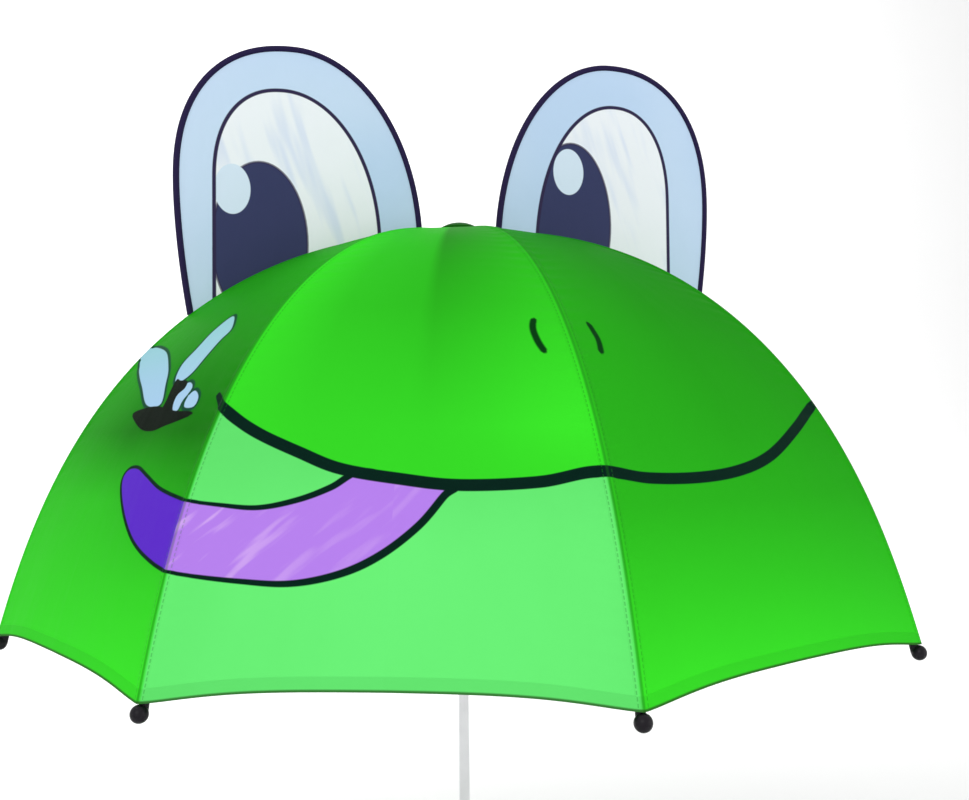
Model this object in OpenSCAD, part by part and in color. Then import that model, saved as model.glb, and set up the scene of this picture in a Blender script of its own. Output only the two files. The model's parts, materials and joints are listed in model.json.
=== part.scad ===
// Children's stick umbrella with a domed canopy, eight curved ribs on struts, two flat upright ears and a hooked handle.
// Millimetres. +Z runs up the shaft, -Y is the front. The origin is the middle of the straight hand grip, on the shaft's axis.

/* [Canopy] */
// Length of one rib along its curve, from the shaft's axis to the hem
rib_length = 470; // [380:5:560]
// Number of ribs, and of canopy sections
rib_count = 8; // [6:1:10]
// Height of the rim plane above the middle of the hand grip
rim_height = 280; // [220:5:340]
// Bend of the rib at the crown, in radians per rib length
bend_start = 1.098; // [0.6:0.001:1.8]
// Change of that bend along the rib
bend_rise = 2.61; // [0:0.001:4]
// Easing of the bend towards the tip
bend_ease = -3.293; // [-5:0.001:0]
// Thickness of the canopy cloth as a solid
cloth = 1.0; // [0.6:0.1:2]
// How far the cloth stands out between two ribs, as a share of the radius
cloth_bulge = 0.016; // [0:0.001:0.05]
// How far the hem rises between two tips
hem_rise = 1; // [0:0.5:20]

/* [Ribs and struts] */
// Height of the rib's section, square to the cloth
rib_high = 2.6; // [2:0.1:5]
// Width of the rib's section
rib_wide = 2.4; // [1.6:0.1:4]
// Depth of the rib's middle line below the cloth's outer face
rib_depth = 4.6; // [2.5:0.1:6]
// Where along the rib the strut's clip sits, as a share of its length
clip_at = 0.42; // [0.35:0.01:0.5]
// Drop of the clip's rivet below the rib's middle line
clip_drop = 6; // [5:0.5:9]
// Height of the strut's section
strut_high = 3; // [2:0.5:5]
// Width of the strut's section
strut_wide = 2.2; // [1.6:0.1:4]
// Radius of the ball on each rib tip
ball_radius = 4.75; // [3:0.25:8]
// Distance from the hem to the middle of the ball
ball_reach = 12; // [8:1:18]
// How far the ball stands out from the rib's line, towards the cloth
ball_out = 2; // [0:0.25:2]

/* [Shaft and runner] */
// Outer radius of the shaft tube
shaft_radius = 4; // [3.5:0.25:6]
// Wall of the shaft tube
shaft_wall = 0.7; // [0.5:0.1:1.5]
// Radius of the circle on which the crown wire and the runner wire hold the ribs and struts
wire_circle = 10; // [9:0.5:14]
// Radius of the wire itself
wire_radius = 0.7; // [0.5:0.05:1]
// Radial play between the shaft and the runner
runner_play = 0.06; // [0.02:0.01:0.1]
// Radius of the runner's sleeve
sleeve_radius = 6.9; // [6:0.1:8]
// Length of the runner's sleeve below its wire
sleeve_length = 40; // [25:1:60]
// Radius of the crown and of the runner's flange
crown_radius = 12.5; // [12:0.5:16]
// How far the catch's tooth stands from the shaft's axis
tooth_reach = 5.6; // [5:0.1:6]

/* [Handle] */
// Radius of the grip
grip_radius = 9; // [7:0.5:12]
// Length of the straight grip
grip_length = 90; // [70:5:120]
// Radius of the hook's middle line
hook_radius = 26; // [20:1:35]
// Length of the hook's upturned end
hook_end = 12; // [5:1:25]

/* [Ears] */
// Distance of the ear's highest point from the shaft's axis
ear_middle = 128; // [100:0.5:140]
// Height of the ear's highest point above the rim plane
ear_peak = 421; // [380:1:430]
// Reach of the ear outwards from its highest point
ear_out = 85; // [60:0.5:100]
// Height above the rim plane of the level where the ear is widest
ear_wide = 315; // [290:1:350]
// Reach of the ear inwards from its highest point
ear_in = 98; // [60:0.5:105]
// Height above the rim plane where the ear's inner side stands upright
ear_low = 270; // [250:1:280]
// Squareness of the ear's outer shoulder, 1 for an ellipse and less for a fuller one
ear_square = 0.87; // [0.7:0.01:1]
// Width of the edge binding
ear_binding = 3.5; // [2:0.5:6]
// Thickness of the padded ear
ear_thick = 3; // [2:0.5:8]
// How far the ear's outer side leans in at its foot
ear_lean = 10; // [0:1:24]

/* [Tie strap] */
// Width of the strap
strap_wide = 14; // [10:1:20]
// Where the strap is sewn on, as a share of the rib's length
strap_from = 0.70; // [0.6:0.01:0.8]
// Where its free end lies
strap_to = 0.97; // [0.9:0.01:0.98]

/* [Hidden] */
$fn = 48;

sector = 360 / rib_count;
hair = 0.05;             // play of fixed parts that only meet
side_play = 0.15;        // play beside a hinged eye
eye_radius = 1.9;
pin_play = 0.06;
eye_play = 0.11;         // the wire's bow inside an eye takes most of this
cap_radius = 15;
cap_high = 8.5;
crown_drop = 7;          // crown wire below the canopy's top
crown_half = 4.4;
flange_half = 4;
slot_floor = 7.2;
catch_thick = 1.4;
catch_tall = 11;         // half the catch's height
tooth_tall = 6;
bore_floor = -30;        // foot of the shaft in the grip
hem_overlap = 0.3;       // gap between two neighbouring cloth sections

// The rib's curve: slope, then distance from the axis and drop, summed in short steps.
arc_steps = 52;
arc_unit = 0.02;
function slope(s) = let (q = min(s, 1)) (bend_start*q + bend_rise*q*q/2 + bend_ease*q*q*q/3) * 180 / PI;
arc_r = [for (i = 0, v = 0; i <= arc_steps; v = v + rib_length*arc_unit*cos(slope((i + 0.5)*arc_unit)), i = i + 1) [i*arc_unit, v]];
arc_z = [for (i = 0, v = 0; i <= arc_steps; v = v + rib_length*arc_unit*sin(slope((i + 0.5)*arc_unit)), i = i + 1) [i*arc_unit, v]];
drop_all = lookup(1, arc_z);
top_z = rim_height + drop_all;
// A point on the curve, moved inwards by d, as [distance from axis, height].
function on_rib(s, d) = [lookup(s, arc_r) - d*sin(slope(s)), top_z - lookup(s, arc_z) - d*cos(slope(s))];

hinge_r = wire_circle;
hinge_z = top_z - crown_drop;
rivet = on_rib(clip_at, rib_depth + clip_drop);
strut_length = norm([rivet[0] - hinge_r, rivet[1] - hinge_z]);
runner_z = 2*rivet[1] - hinge_z;   // the strut is as long as the rib's inner arm, so the runner lies below by twice the rivet's drop
fold_angle = 46.5;
rest_angle = atan2(hinge_z - rivet[1], rivet[0] - hinge_r);
runner_travel = 2*strut_length*(sin(rest_angle + fold_angle) - sin(rest_angle));
runner_low = runner_z - runner_travel;
upper_tooth = runner_z - sleeve_length - 0.3;
lower_tooth = runner_low + flange_half + 0.3;

ink_green = [0.16, 0.79, 0.07];
black = [0.13, 0.12, 0.14];
steel = [0.72, 0.73, 0.75];

module in_rib_plane(i) { rotate([0, 0, sector*i - 90]) children(); }
module plate(width) { rotate([90, 0, 0]) linear_extrude(width, center = true) children(); }
module across(radius, width) { rotate([90, 0, 0]) cylinder(r = radius, h = width, center = true); }

module wire_ring(z) { translate([0, 0, z]) rotate_extrude() translate([wire_circle, 0]) circle(r = wire_radius); }
// A notched disc that takes the wire in a groove and one hinged eye in each slot.
module notched_disc(z, half) {
    difference() {
        translate([0, 0, z - half]) cylinder(r = crown_radius, h = 2*half);
        for (i = [0 : rib_count - 1])
            in_rib_plane(i) translate([slot_floor, -rib_wide/2 - side_play, z - half - 1]) cube([crown_radius, rib_wide + 2*side_play, 2*half + 2]);
        rotate_extrude() translate([wire_circle - wire_radius - hair, z - wire_radius - hair]) square([crown_radius, 2*(wire_radius + hair)]);
    }
}

module shaft_tube() color(steel) difference() {
    translate([0, 0, bore_floor]) cylinder(r = shaft_radius, h = top_z + 0.7 - bore_floor);
    translate([0, 0, bore_floor - 1]) cylinder(r = shaft_radius - shaft_wall, h = top_z + 3 - bore_floor);
    for (z = [upper_tooth - tooth_tall, lower_tooth])
        translate([0, -catch_thick/2 - 0.1, z - 0.4]) cube([shaft_radius + 1, catch_thick + 0.2, tooth_tall + 0.8]);
}
module grip() color([0.20, 0.62, 0.16]) {
    half = grip_length/2;
    difference() {
        union() {
            translate([0, 0, -half]) cylinder(r = grip_radius, h = grip_length - 3);
            translate([0, 0, half - 3]) cylinder(r1 = grip_radius, r2 = grip_radius - 1.5, h = 3);
            translate([hook_radius, 0, -half]) rotate([90, 0, 0]) rotate_extrude(angle = -180) translate([hook_radius, 0]) circle(r = grip_radius);
            translate([2*hook_radius, 0, -half]) cylinder(r = grip_radius, h = hook_end);
            translate([2*hook_radius, 0, hook_end - half]) sphere(r = grip_radius);
        }
        translate([0, 0, bore_floor - 0.5]) cylinder(r = shaft_radius + hair, h = grip_length);
    }
}
module grip_collar() color(steel) translate([0, 0, grip_length/2 + 0.1]) difference() {
    union() {
        cylinder(r = grip_radius - 1.8, h = 3);
        translate([0, 0, 3]) cylinder(r1 = grip_radius - 1.8, r2 = shaft_radius + 1.2, h = 2);
    }
    translate([0, 0, -1]) cylinder(r = shaft_radius + hair, h = 8);
}
module crown() color(black) difference() {
    notched_disc(hinge_z, crown_half);
    translate([0, 0, hinge_z - 6]) cylinder(r = shaft_radius + hair, h = 12);
}
module crown_wire() color(steel) wire_ring(hinge_z);
module top_cap() color([0.05, 0.42, 0.05]) translate([0, 0, top_z]) {
    translate([0, 0, -6]) cylinder(r = shaft_radius - shaft_wall - hair, h = 8);
    translate([0, 0, 1]) cylinder(r = cap_radius, h = 1.5);
    intersection() {
        translate([0, 0, 1 + cap_high - 27]) sphere(r = 27, $fn = 96);
        translate([0, 0, 2.4]) cylinder(r = cap_radius - 0.6, h = cap_high);
    }
}
module crown_washer() color([0.1, 0.5, 0.1]) translate([0, 0, top_z - 2.4]) difference() {
    cylinder(r = crown_radius, h = 0.8);
    translate([0, 0, -1]) cylinder(r = shaft_radius + hair, h = 3);
}
module runner() color(black) difference() {
    union() {
        notched_disc(runner_z, flange_half);
        translate([0, 0, runner_z - sleeve_length]) cylinder(r = sleeve_radius, h = sleeve_length - flange_half + 0.5);
        translate([0, 0, runner_z - sleeve_length]) cylinder(r = sleeve_radius + 1.6, h = 4);
    }
    translate([0, 0, runner_z - sleeve_length - 1]) cylinder(r = shaft_radius + runner_play, h = sleeve_length + flange_half + 2);
    translate([0, -catch_thick/2 - 0.3, runner_z - sleeve_length - 1]) cube([tooth_reach + 0.4, catch_thick + 0.6, sleeve_length + flange_half + 2]);
}
module runner_wire() color(steel) wire_ring(runner_z);

// A leaf inside the shaft with a tooth through its slot; way is 1 where the tooth's flat side is on top, -1 where it is below.
module catch_leaf(z, way) {
    flat = shaft_radius - shaft_wall;
    translate([0, 0, z]) plate(catch_thick) polygon([[flat - 1.7, -way*catch_tall], [flat - 1.7, way*catch_tall], [flat - 0.7, way*catch_tall],
        [flat - 0.7, 0], [tooth_reach, 0], [tooth_reach, -way*1.2], [flat - 0.7, -way*tooth_tall], [flat - 0.7, -way*catch_tall]]);
}
module catch_upper() color(steel) catch_leaf(upper_tooth, 1);
module catch_lower() color(steel) catch_leaf(lower_tooth, -1);

module tie_strap() color(ink_green) in_rib_plane(4) plate(strap_wide)
    polygon(concat([for (k = [0 : 12]) on_rib(strap_from + (strap_to - strap_from)*k/12, -1.8)],
                   [for (k = [12 : -1 : 0]) on_rib(strap_from + (strap_to - strap_from)*k/12, -0.6)]));
module strap_snap() color(steel) in_rib_plane(4) {
    at = strap_to - 0.03;
    spot = on_rib(at, -1.9);
    translate([spot[0], 0, spot[1]]) rotate([0, slope(at), 0]) { cylinder(r = 5, h = 1.2); cylinder(r = 2.4, h = 2.4); }
}

// The ear's outline in the rib's plane, drawn in by the given amount, standing on the cloth.
function ear_foot(side) = [for (k = [0 : 20]) lookup(side[0] + (side[1] - side[0])*k/20, [for (j = [0 : arc_steps]) [arc_r[j][1], arc_r[j][0]]])];
function ear_arch(inset) = concat(
    [for (a = [0 : 6 : 90]) [ear_middle + (ear_out - inset)*pow(cos(a), ear_square),
                             rim_height + ear_wide + (ear_peak - ear_wide - inset)*pow(sin(a), ear_square)]],
    [for (a = [96 : 6 : 174]) [ear_middle + (ear_in - inset)*cos(a),
                               rim_height + ear_low + (ear_peak - ear_low - inset)*sin(a)]]);
module ear_shape(inset) {
    foot = ear_foot([ear_middle + ear_out - inset - ear_lean, ear_middle - ear_in + inset]);
    polygon(concat(ear_arch(inset), [for (k = [20 : -1 : 0]) on_rib(foot[k], -0.4)]));
}
module ear_body() plate(ear_thick) ear_shape(ear_binding + 0.3);
module ear_edge() plate(ear_thick + 1) difference() {
    ear_shape(0);
    outer = on_rib(ear_foot([ear_middle + ear_out - ear_binding - ear_lean, 0])[0], -0.4);
    inner = on_rib(ear_foot([ear_middle - ear_in + ear_binding, 0])[0], -0.4);
    polygon(concat(ear_arch(ear_binding), [inner, [inner[0], rim_height], [outer[0], rim_height], outer]));
}
module ear_right() color([0.78, 0.87, 0.97]) in_rib_plane(2) ear_body();
module ear_left() color([0.78, 0.87, 0.97]) in_rib_plane(6) ear_body();
module ear_right_binding() color([0.14, 0.12, 0.28]) in_rib_plane(2) ear_edge();
module ear_left_binding() color([0.14, 0.12, 0.28]) in_rib_plane(6) ear_edge();

module rib(i) color(steel) in_rib_plane(i) {
    first = 0.045;
    steps = 32;
    last = on_rib(1, rib_depth);
    difference() {
        union() {
            plate(rib_wide) polygon(concat(
                [[hinge_r, hinge_z + rib_high/2]], [for (k = [0 : steps]) on_rib(first + (1 - first)*k/steps, rib_depth - rib_high/2)],
                [for (k = [steps : -1 : 0]) on_rib(first + (1 - first)*k/steps, rib_depth + rib_high/2)], [[hinge_r, hinge_z - rib_high/2]]));
            translate([hinge_r, 0, hinge_z]) across(eye_radius, rib_wide);
            translate([last[0], 0, last[1]]) rotate([0, 90 + slope(1), 0]) translate([0, 0, -1]) cylinder(r = 1.1, h = 11);
        }
        translate([hinge_r, 0, hinge_z]) across(wire_radius + eye_play, rib_wide + 2);
    }
}
// A clip that straddles the rib and carries the strut's rivet between its cheeks.
module clip(i) color(steel) in_rib_plane(i) {
    seat = on_rib(clip_at, rib_depth);
    inner = rib_wide/2 + hair;
    translate([seat[0], 0, seat[1]]) rotate([0, slope(clip_at), 0]) {
        translate([-5, -inner - 1, rib_high/2 + hair + 0.05]) cube([10, 2*inner + 2, 0.8]);
        for (side = [-1, 1]) {
            translate([-5, side*(inner + 0.5) - 0.5, -clip_drop]) cube([10, 1, clip_drop + rib_high/2 + hair + 0.5]);
            translate([0, side*(inner + 0.5), -clip_drop]) across(2.6, 1);
            translate([0, side*(inner + 1.3), -clip_drop]) across(1.7, 0.8);
        }
        translate([0, 0, -clip_drop]) across(0.9, 2*inner + 1);
    }
}
module tip(i) color(black) in_rib_plane(i) {
    last = on_rib(1, rib_depth);
    translate([last[0], 0, last[1]]) rotate([0, 90 + slope(1), 0]) difference() {
        union() {
            translate([0, 0, 0.5]) cylinder(r1 = 2.3, r2 = 2.9, h = ball_reach - 1);
            translate([-ball_out, 0, ball_reach]) sphere(r = ball_radius);
        }
        translate([0, 0, -1]) cylinder(r = 1.16, h = 12);
    }
}
// A straight strut from the clip's rivet down to the runner's wire.
module strut(i) color(steel) in_rib_plane(i) difference() {
    union() {
        translate([rivet[0], 0, rivet[1]]) rotate([0, 90 - rest_angle, 0]) {
            translate([-strut_high/2, -strut_wide/2, -strut_length]) cube([strut_high, strut_wide, strut_length]);
            across(2.1, strut_wide);
        }
        translate([hinge_r, 0, runner_z]) across(eye_radius, strut_wide);
    }
    translate([rivet[0], 0, rivet[1]]) across(0.9 + pin_play, strut_wide + 2);
    translate([hinge_r, 0, runner_z]) across(wire_radius + eye_play, strut_wide + 2);
}
// One section of the cloth, from the middle of one panel over a rib to the middle of the next.
cover_rows = 16;
cover_half = 4;
cover_first = 0.02;
function cover_point(k, j, d) =
    let (reach = lookup(cover_first, arc_r), way = sign(j), share = abs(j)/cover_half,
         s_rib = cover_first + (1 - cover_first)*k/cover_rows,
         edge = 0.5 - hem_overlap/2/(lookup(s_rib, arc_r)*sin(sector)),
         u = share*edge, w = 4*u*(1 - u),
         s = s_rib*(1 - hem_rise/rib_length*w*pow(s_rib, 8)),
         p = on_rib(s, d), r = p[0]*(1 + cloth_bulge*w))
    [r*(1 - u + u*cos(sector)), way*r*u*sin(sector), p[1]];
module cover(i) color(ink_green) in_rib_plane(i) {
    across_n = 2*cover_half + 1;
    total = (cover_rows + 1)*across_n;
    points = [for (d = [0, cloth]) for (k = [0 : cover_rows]) for (j = [-cover_half : cover_half]) cover_point(k, j, d)];
    skin = [for (k = [0 : cover_rows - 1]) for (j = [0 : 2*cover_half - 1]) let (a = k*across_n + j, b = a + across_n) each [[a, b, a + 1], [a + 1, b, b + 1]]];
    ends = [for (j = [0 : 2*cover_half - 1]) let (m = cover_rows*across_n + j) each [[j, j + 1, j + total], [j + 1, j + 1 + total, j + total], [m, m + total, m + 1], [m + 1, m + total, m + 1 + total]]];
    sides = [for (k = [0 : cover_rows - 1]) let (a = k*across_n, b = a + across_n, c = a + across_n - 1, e = c + across_n)
        each [[a, a + total, b], [b, a + total, b + total], [c, e, c + total], [e, e + total, c + total]]];
    polyhedron(points, concat([for (f = skin) [f[0], f[2], f[1]]], [for (f = skin) [f[0] + total, f[1] + total, f[2] + total]],
        [for (f = ends) [f[0], f[2], f[1]]], [for (f = sides) [f[0], f[2], f[1]]]), convexity = 4);
}

shaft_tube();
grip();
grip_collar();
crown();
crown_wire();
top_cap();
crown_washer();
runner();
runner_wire();
catch_upper();
catch_lower();
tie_strap();
strap_snap();
ear_right();
ear_right_binding();
ear_left();
ear_left_binding();
rib(0);  // rib_0
rib(1);  // rib_1
rib(2);  // rib_2
rib(3);  // rib_3
rib(4);  // rib_4
rib(5);  // rib_5
rib(6);  // rib_6
rib(7);  // rib_7
clip(0);  // clip_0
clip(1);  // clip_1
clip(2);  // clip_2
clip(3);  // clip_3
clip(4);  // clip_4
clip(5);  // clip_5
clip(6);  // clip_6
clip(7);  // clip_7
tip(0);  // tip_0
tip(1);  // tip_1
tip(2);  // tip_2
tip(3);  // tip_3
tip(4);  // tip_4
tip(5);  // tip_5
tip(6);  // tip_6
tip(7);  // tip_7
strut(0);  // strut_0
strut(1);  // strut_1
strut(2);  // strut_2
strut(3);  // strut_3
strut(4);  // strut_4
strut(5);  // strut_5
strut(6);  // strut_6
strut(7);  // strut_7
cover(0);  // cover_0
cover(1);  // cover_1
cover(2);  // cover_2
cover(3);  // cover_3
cover(4);  // cover_4
cover(5);  // cover_5
cover(6);  // cover_6
cover(7);  // cover_7
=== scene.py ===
"""Builds the look of a children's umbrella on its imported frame.

The canopy and the ears are printed cloth, and the frame, the handle and the tips get their finishes.
"""

import json
import math

import bmesh
import bpy
import numpy as np
from bpy.props import FloatProperty, FloatVectorProperty, IntProperty, PointerProperty
from bpy.types import Operator, Panel, PropertyGroup
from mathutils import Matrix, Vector


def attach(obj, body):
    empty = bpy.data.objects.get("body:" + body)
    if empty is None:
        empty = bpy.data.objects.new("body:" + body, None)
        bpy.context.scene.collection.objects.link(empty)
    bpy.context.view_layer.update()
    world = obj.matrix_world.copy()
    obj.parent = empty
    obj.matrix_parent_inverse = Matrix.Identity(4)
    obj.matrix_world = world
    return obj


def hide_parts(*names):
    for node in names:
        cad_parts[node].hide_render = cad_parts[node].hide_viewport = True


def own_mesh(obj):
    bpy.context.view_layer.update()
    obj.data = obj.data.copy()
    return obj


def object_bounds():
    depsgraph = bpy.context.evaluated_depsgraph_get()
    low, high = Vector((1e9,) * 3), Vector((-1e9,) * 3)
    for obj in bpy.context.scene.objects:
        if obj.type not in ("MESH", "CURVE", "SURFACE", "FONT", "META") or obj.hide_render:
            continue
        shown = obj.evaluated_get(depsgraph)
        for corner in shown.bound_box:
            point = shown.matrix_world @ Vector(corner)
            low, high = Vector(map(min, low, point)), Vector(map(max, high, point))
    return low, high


bl_info = {
    "name": "Children's umbrella",
    "version": (1, 0, 0),
    "blender": (4, 5, 0),
    "location": "3D View > Sidebar > Umbrella",
    "description": "Builds the cloth, ears, fittings and stage of a children's umbrella on its frame",
    "category": "Object",
}

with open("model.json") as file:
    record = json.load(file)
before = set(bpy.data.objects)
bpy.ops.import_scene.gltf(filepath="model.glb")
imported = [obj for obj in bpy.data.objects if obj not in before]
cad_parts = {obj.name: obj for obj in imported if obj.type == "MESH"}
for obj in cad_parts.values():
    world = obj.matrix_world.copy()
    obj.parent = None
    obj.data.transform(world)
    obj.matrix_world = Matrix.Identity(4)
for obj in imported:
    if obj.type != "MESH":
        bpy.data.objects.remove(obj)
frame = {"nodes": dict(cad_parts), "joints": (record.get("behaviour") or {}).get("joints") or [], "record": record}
CAD_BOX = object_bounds()

RIBS = 8
SECTOR = math.tau / RIBS
JOINTS = {j["name"]: j for j in frame["joints"]}
HINGE = JOINTS["fold"]["pos_m"]
CROWN_DROP = 0.007
TOP_Z = HINGE[2] + CROWN_DROP

# The print: how far round from the front rib, in rib spaces with the right positive, and how far down, in
# shares of the rib from the crown.
MOUTH = [
    (-1.055, 0.650), (-0.955, 0.682), (-0.865, 0.706), (-0.745, 0.731), (-0.635, 0.752), (-0.490, 0.765),
    (-0.350, 0.773), (-0.165, 0.770), (-0.020, 0.758), (0.130, 0.768), (0.305, 0.770), (0.465, 0.763),
    (0.615, 0.745), (0.795, 0.708), (0.930, 0.679), (1.055, 0.655),
]
TONGUE = [
    (-0.585, 0.756), (-0.650, 0.775), (-0.725, 0.790), (-0.815, 0.799), (-0.910, 0.796), (-1.040, 0.788),
    (-1.160, 0.778), (-1.260, 0.763), (-1.340, 0.752), (-1.400, 0.756), (-1.405, 0.775), (-1.320, 0.812),
    (-1.210, 0.845), (-1.090, 0.865), (-0.965, 0.876), (-0.825, 0.883), (-0.710, 0.885), (-0.605, 0.874),
    (-0.520, 0.853), (-0.440, 0.820), (-0.385, 0.786), (-0.360, 0.772), (-0.490, 0.765),
]
NOSTRILS = [
    [(-0.100, 0.532), (-0.112, 0.550), (-0.108, 0.572), (-0.092, 0.594)],
    [(0.098, 0.538), (0.108, 0.555), (0.110, 0.575), (0.100, 0.594)],
]
FLY_BODY = [
    (-1.590, 0.672), (-1.550, 0.665), (-1.450, 0.661), (-1.360, 0.664), (-1.280, 0.670), (-1.180, 0.672),
    (-1.155, 0.677), (-1.215, 0.685), (-1.295, 0.693), (-1.360, 0.700), (-1.440, 0.698), (-1.530, 0.685),
]
FLY_THORAX = [
    (-1.370, 0.668), (-1.385, 0.650), (-1.400, 0.633), (-1.405, 0.617), (-1.370, 0.620), (-1.315, 0.622),
    (-1.300, 0.634), (-1.325, 0.645), (-1.318, 0.658), (-1.300, 0.672),
]
FLY_WINGS = [
    [
        (-2.015, 0.552), (-1.945, 0.540), (-1.725, 0.557), (-1.555, 0.593), (-1.470, 0.625), (-1.410, 0.658),
        (-1.515, 0.658), (-1.670, 0.625), (-1.865, 0.588),
    ],
    [
        (-1.360, 0.498), (-1.270, 0.528), (-1.285, 0.550), (-1.300, 0.578), (-1.320, 0.608), (-1.370, 0.623),
        (-1.415, 0.618), (-1.450, 0.590), (-1.430, 0.560), (-1.415, 0.525),
    ],
    [
        (-1.315, 0.670), (-1.340, 0.653), (-1.325, 0.633), (-1.290, 0.625), (-1.250, 0.635), (-1.265, 0.655),
        (-1.265, 0.670),
    ],
    [(-1.230, 0.665), (-1.245, 0.650), (-1.220, 0.640), (-1.175, 0.650), (-1.170, 0.665)],
]

# How bright the cloth is painted, for rib spaces round, at LIGHT_SHARES of the rib.
# Partly the print's green, darker at the top and lighter towards the hem, and partly painted light: each panel's
# own painted shade, a painted highlight along the front panel's left seam, and a painted shade step near the crown
# between the -0.48 and -0.43 columns.
LIGHT_SHARES = (0.05, 0.30, 0.50, 0.70, 0.80, 0.90, 1.00)
LIGHT = {
    -3.00: (0.20, 0.24, 0.30, 0.40, 0.50, 0.60, 0.70),
    -2.00: (0.15, 0.26, 0.34, 0.30, 0.60, 0.76, 0.84),
    -1.50: (0.18, 0.30, 0.24, 0.07, 0.60, 0.74, 0.90),
    -1.01: (0.20, 0.48, 0.28, 0.04, 0.38, 0.78, 1.00),
    -0.99: (0.40, 0.96, 0.92, 0.86, 0.80, 0.85, 0.90),
    -0.75: (0.60, 0.70, 0.64, 0.80, 0.80, 0.85, 0.90),
    -0.48: (0.55, 0.58, 0.56, 0.78, 0.80, 0.85, 0.90),
    -0.43: (0.15, 0.23, 0.45, 0.78, 0.80, 0.85, 0.90),
    -0.01: (0.16, 0.48, 0.68, 1.00, 0.80, 0.85, 0.90),
    0.01: (0.15, 0.24, 0.37, 0.42, 0.46, 0.70, 0.96),
    0.50: (0.14, 0.19, 0.22, 0.33, 0.42, 0.62, 0.88),
    1.00: (0.16, 0.16, 0.20, 0.27, 0.34, 0.52, 0.74),
    2.00: (0.20, 0.24, 0.30, 0.40, 0.50, 0.60, 0.70),
}

SOCKETS = {
    "sheen_weight": "Sheen Weight",
    "sheen_tint": "Sheen Tint",
    "specular_ior_level": "Specular IOR Level",
}

# Ribs whose cloth is printed. On the rest every printed shape is FAR away.
PRINTED_RIBS = (-2, -1, 0, 1)
FAR = 0.03
NO_PRINT = {"tongue": FAR, "line": FAR, "nostril": FAR, "wing": FAR, "fly": FAR, "stroke": 0.0, "jaw": 0.0}

# Colours of the print's small touches and of the sewing. TONGUE_GLEAM is no print but a painted highlight streaked
# over the tongue, and the lining's pale jaw is a painted sheen.
TONGUE_GLEAM = (0.86, 0.60, 0.97)
WING_FOOT = (0.42, 0.66, 0.90)
WING_EDGE = (0.004, 0.055, 0.035)
SEAM_SHADE = (0.010, 0.110, 0.010)
HEM_EDGE = (0.030, 0.075, 0.018)
HEM_SHADE = (0.010, 0.140, 0.010)
THREAD = (0.012, 0.200, 0.012)
CLOTH_SHEEN = (0.10, 0.80, 0.08, 1.0)
LINING = {
    "deep": (0.030, 0.250, 0.020),
    "bright": (0.080, 0.620, 0.060),
    "jaw": (0.150, 0.720, 0.170),
    "tongue": (0.30, 0.20, 0.60),
    "ink": (0.010, 0.070, 0.035),
    "seam": (0.020, 0.200, 0.020),
}

# Lengths in the cloth's pattern, in metres, and rates per metre.
PRINT_EDGE = 0.0004
LINING_EDGE = 0.0006
NOSTRIL_HALF = 0.0019
STITCH_ROW = 0.0028
STITCH_RATE = 330.0
PUCKER_RATE = 520.0
CLOTH_WEAVE = 9000.0
EAR_WEAVE = 7000.0
MOTTLE_SCALE = (9.0, 3.5, 1.0)
CREASE_SCALE = (22.0, 7.0, 1.0)


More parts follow.
